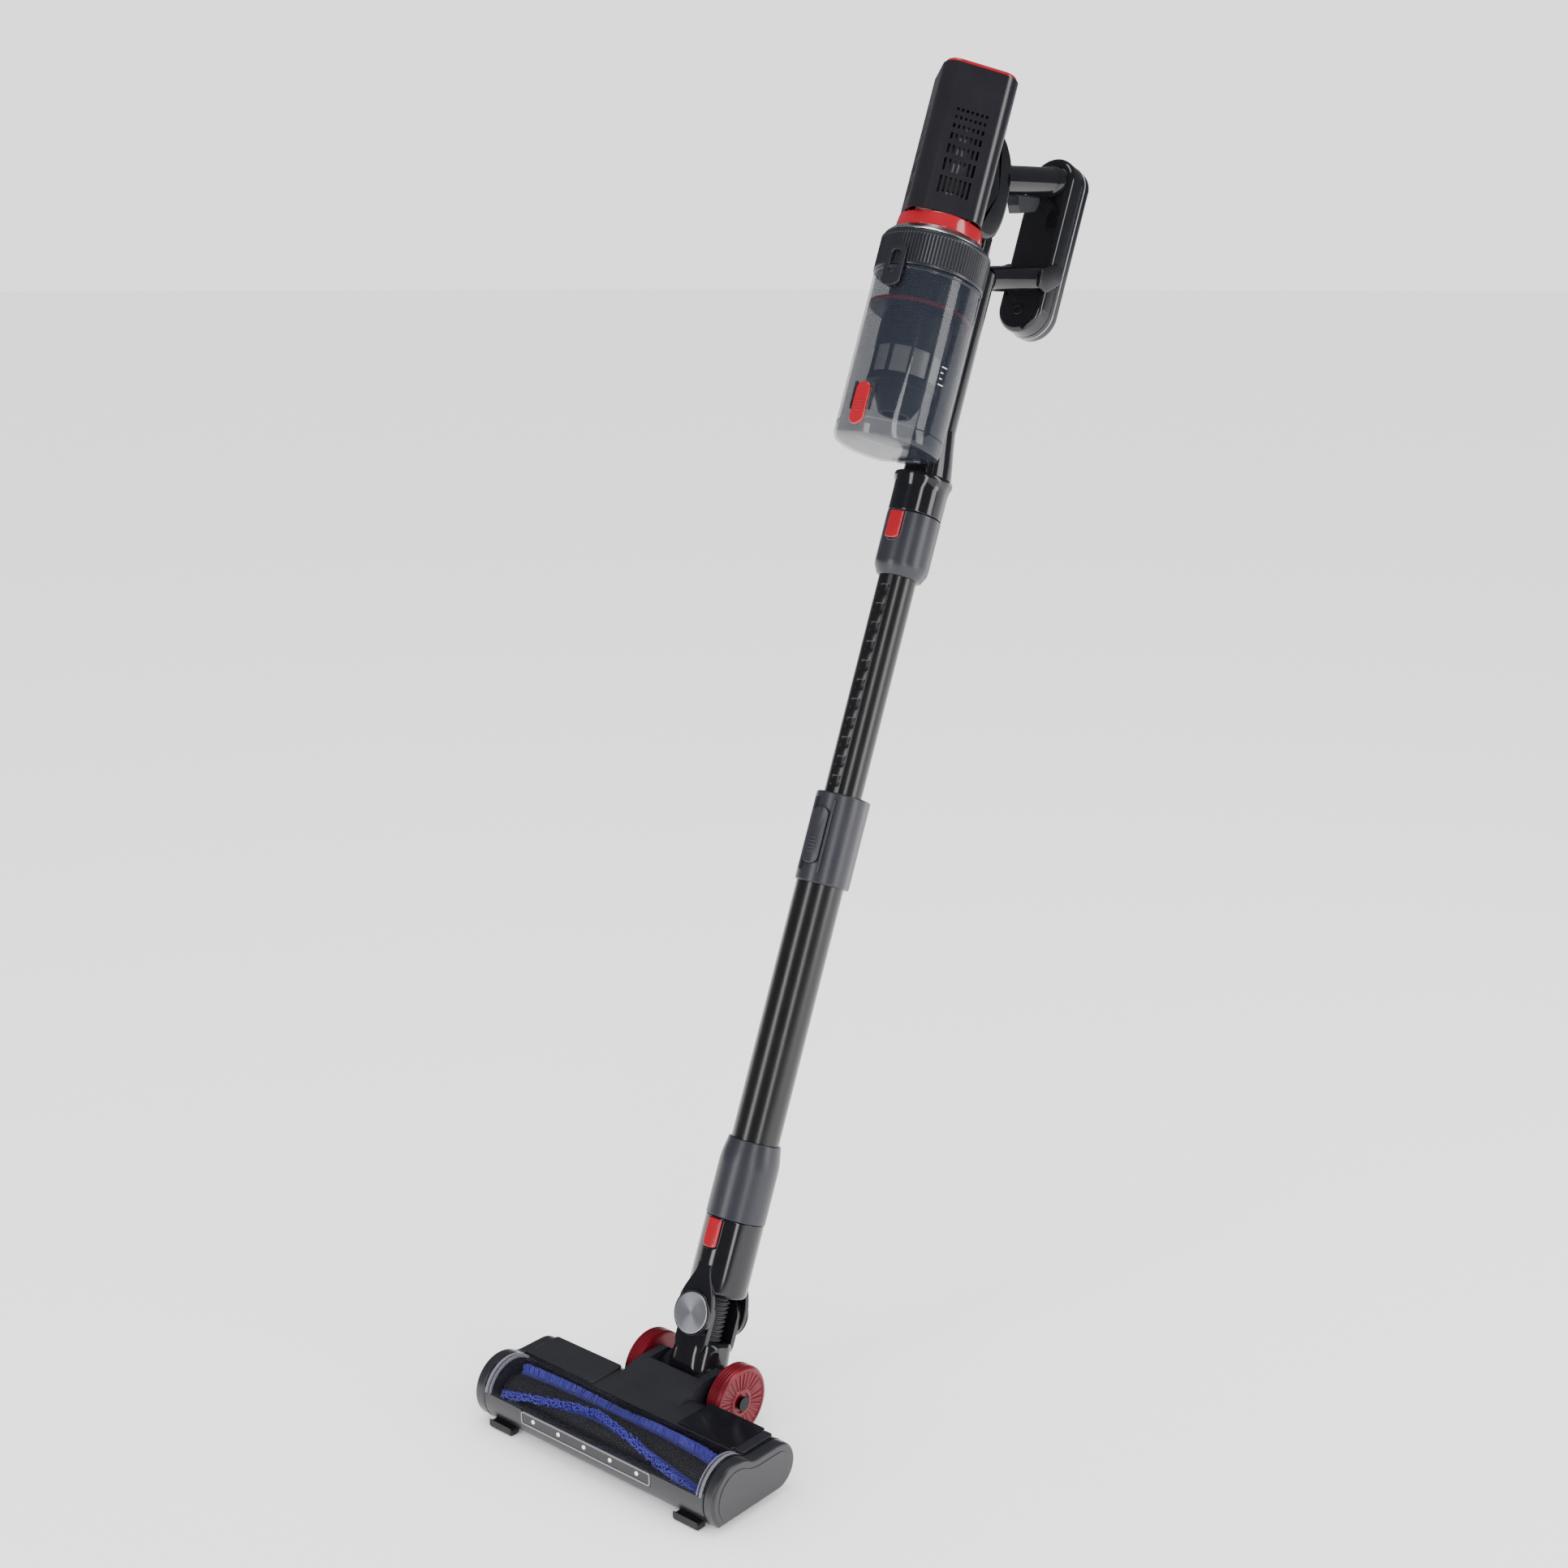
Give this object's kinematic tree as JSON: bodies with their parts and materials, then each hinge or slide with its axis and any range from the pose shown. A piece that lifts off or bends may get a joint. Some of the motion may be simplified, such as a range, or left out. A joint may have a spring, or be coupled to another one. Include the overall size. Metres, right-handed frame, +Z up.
{
  "type": "cordless stick vacuum",
  "caption": "Cordless stick vacuum leaning back on its floor head, with a telescopic wand, swivel neck, hinged dust cup and a looped handle with battery.",
  "frame": {"origin": "on the floor below the middle of the wheel axle", "axes": "+X along the floor head, +Y to the rear, where the handle is, +Z up; the stick leans back by 22.5 degrees"},
  "size_m": [0.27, 0.6557, 1.1157],
  "materials": {
    "housing_gloss": "glossy dark grey moulded plastic",
    "black_gloss": "glossy black moulded plastic",
    "red_gloss": "glossy red moulded plastic",
    "silver_ring": "turned bright aluminium",
    "satin_dark": "satin dark grey moulded plastic",
    "tube_black": "black anodised aluminium tube",
    "smoke_clear": "smoky clear polycarbonate",
    "window_clear": "clear polycarbonate",
    "grey_inner": "dark grey moulded plastic",
    "filter_white": "pleated white filter cloth",
    "steel": "turned steel",
    "motor_metal": "drawn steel can",
    "white_plastic": "satin white moulded plastic",
    "rubber": "matte black rubber",
    "board_green": "solder-masked circuit board",
    "bristle_violet": "blue-violet nylon bristles",
    "led_black": "gloss black light bar",
    "led_white": "clear lamp lenses",
    "wheel_red": "deep red metallic lacquer"
  },
  "bodies": {
    "hand_unit": {"motor_housing": "housing_gloss", "top_cap": "red_gloss", "red_ring": "red_gloss", "silver_ring": "silver_ring", "spine_duct": "black_gloss", "inlet_neck": "black_gloss", "handle_bracket": "black_gloss", "upper_arm": "black_gloss", "lower_arm": "black_gloss", "grip_shell": "black_gloss", "trigger_pin": "steel", "suction_motor": "motor_metal", "motor_seal": "rubber", "control_board": "board_green", "handle_screws": "steel", "upper_connector": "satin_dark", "inner_tube": "tube_black", "inner_bush": "white_plastic"},
    "impeller": {"impeller": "white_plastic"},
    "trigger": {"trigger": "satin_dark"},
    "battery": {"battery_pack": "black_gloss"},
    "battery_latch": {"battery_latch": "red_gloss"},
    "bin": {"cup_collar": "satin_dark", "dust_cup": "smoke_clear", "shroud": "grey_inner", "cyclone_cone": "grey_inner", "level_ring": "red_gloss", "pre_filter": "filter_white", "door_pin": "steel"},
    "cup_clip": {"cup_clip": "satin_dark"},
    "cup_door": {"cup_door": "smoke_clear"},
    "door_button": {"door_button": "red_gloss"},
    "upper_latch": {"upper_latch": "red_gloss"},
    "wand_lower": {"outer_tube": "tube_black", "tube_collar": "satin_dark", "lower_connector": "satin_dark", "neck_collar": "black_gloss", "front_disc": "silver_ring", "rear_disc": "silver_ring"},
    "slide_lever": {"slide_lever": "satin_dark"},
    "lower_latch": {"lower_latch": "red_gloss"},
    "neck": {"lower_neck": "black_gloss", "bellows_hose": "rubber"},
    "head": {"head_chassis": "satin_dark", "head_cover": "satin_dark", "badge_panel": "black_gloss", "end_caps": "satin_dark", "window": "window_clear", "led_strip": "led_black", "led_lenses": "led_white", "wheel_axle": "steel", "brush_motor": "motor_metal", "head_screws": "steel", "front_feet": "rubber", "drive_belt": "rubber"},
    "brush": {"brush_core": "rubber", "brush_bristles": "bristle_violet"},
    "motor_pulley": {"motor_pulley": "white_plastic"},
    "left_wheel": {"left_wheel": "wheel_red"},
    "right_wheel": {"right_wheel": "wheel_red"}
  },
  "joints": [
    {"name": "impeller_spin", "type": "hinge", "parent": "hand_unit", "child": "impeller", "pos_m": [0, 0.3234, 0.9816], "axis": [0, 0.3827, 0.9239], "continuous": true},
    {"name": "trigger_pull", "type": "hinge", "parent": "hand_unit", "child": "trigger", "pos_m": [0, 0.43432, 1.00678], "axis": [1, 0, 0], "range_deg": [0, 8], "stiffness_Nm_per_rad": 0.3, "springref_deg": -2.86},
    {"name": "battery_slide", "type": "slide", "parent": "hand_unit", "child": "battery", "axis": [0, -0.3827, -0.9239], "range_m": [0, 0.045]},
    {"name": "battery_release", "type": "slide", "parent": "battery", "child": "battery_latch", "axis": [0, -0.9239, 0.3827], "range_m": [0, 0.0012], "stiffness_N_per_m": 800, "springref_m": -0.0008},
    {"name": "bin_tilt", "type": "hinge", "parent": "hand_unit", "child": "bin", "pos_m": [0, 0.29267, 0.77677], "axis": [1, 0, 0], "range_deg": [0, 12]},
    {"name": "clip_flip", "type": "hinge", "parent": "bin", "child": "cup_clip", "pos_m": [0, 0.25325, 0.93272], "axis": [1, 0, 0], "range_deg": [0, 25], "stiffness_Nm_per_rad": 0.05, "springref_deg": -11.46},
    {"name": "door_swing", "type": "hinge", "parent": "bin", "child": "cup_door", "pos_m": [0, 0.2792, 0.78343], "axis": [1, 0, 0], "range_deg": [0, 75]},
    {"name": "door_release", "type": "slide", "parent": "bin", "child": "door_button", "axis": [0, -0.3827, -0.9239], "range_m": [0, 0.002], "stiffness_N_per_m": 800, "springref_m": -0.0008},
    {"name": "upper_release", "type": "slide", "parent": "hand_unit", "child": "upper_latch", "axis": [0, 0.9239, -0.3827], "range_m": [0, 0.002], "stiffness_N_per_m": 800, "springref_m": -0.0008},
    {"name": "wand_slide", "type": "slide", "parent": "hand_unit", "child": "wand_lower", "axis": [0, -0.3827, -0.9239], "range_m": [-0.185, 0.12]},
    {"name": "slide_release", "type": "slide", "parent": "wand_lower", "child": "slide_lever", "axis": [0, 0.3827, 0.9239], "range_m": [0, 0.005], "stiffness_N_per_m": 400, "springref_m": -0.001},
    {"name": "lower_release", "type": "slide", "parent": "wand_lower", "child": "lower_latch", "axis": [0, 0.9239, -0.3827], "range_m": [0, 0.002], "stiffness_N_per_m": 800, "springref_m": -0.0008},
    {"name": "neck_swing", "type": "hinge", "parent": "wand_lower", "child": "neck", "pos_m": [0, 0.02258, 0.08551], "axis": [0, -0.9239, 0.3827], "range_deg": [-35, 35]},
    {"name": "head_pitch", "type": "hinge", "parent": "neck", "child": "head", "pos_m": [0, 0, 0.031], "axis": [1, 0, 0], "range_deg": [-22.5, 60]},
    {"name": "brush_spin", "type": "hinge", "parent": "head", "child": "brush", "pos_m": [0, -0.0974, 0.025], "axis": [1, 0, 0], "continuous": true},
    {"name": "pulley_spin", "type": "hinge", "parent": "head", "child": "motor_pulley", "pos_m": [0, -0.0504, 0.0215], "axis": [1, 0, 0], "continuous": true},
    {"name": "left_wheel_roll", "type": "hinge", "parent": "head", "child": "left_wheel", "pos_m": [0, 0, 0.031], "axis": [1, 0, 0], "continuous": true},
    {"name": "right_wheel_roll", "type": "hinge", "parent": "head", "child": "right_wheel", "pos_m": [0, 0, 0.031], "axis": [1, 0, 0], "continuous": true}
  ],
  "couplings": [
    {"joint": "pulley_spin", "follows": "brush_spin", "ratio": 1.8}
  ]
}
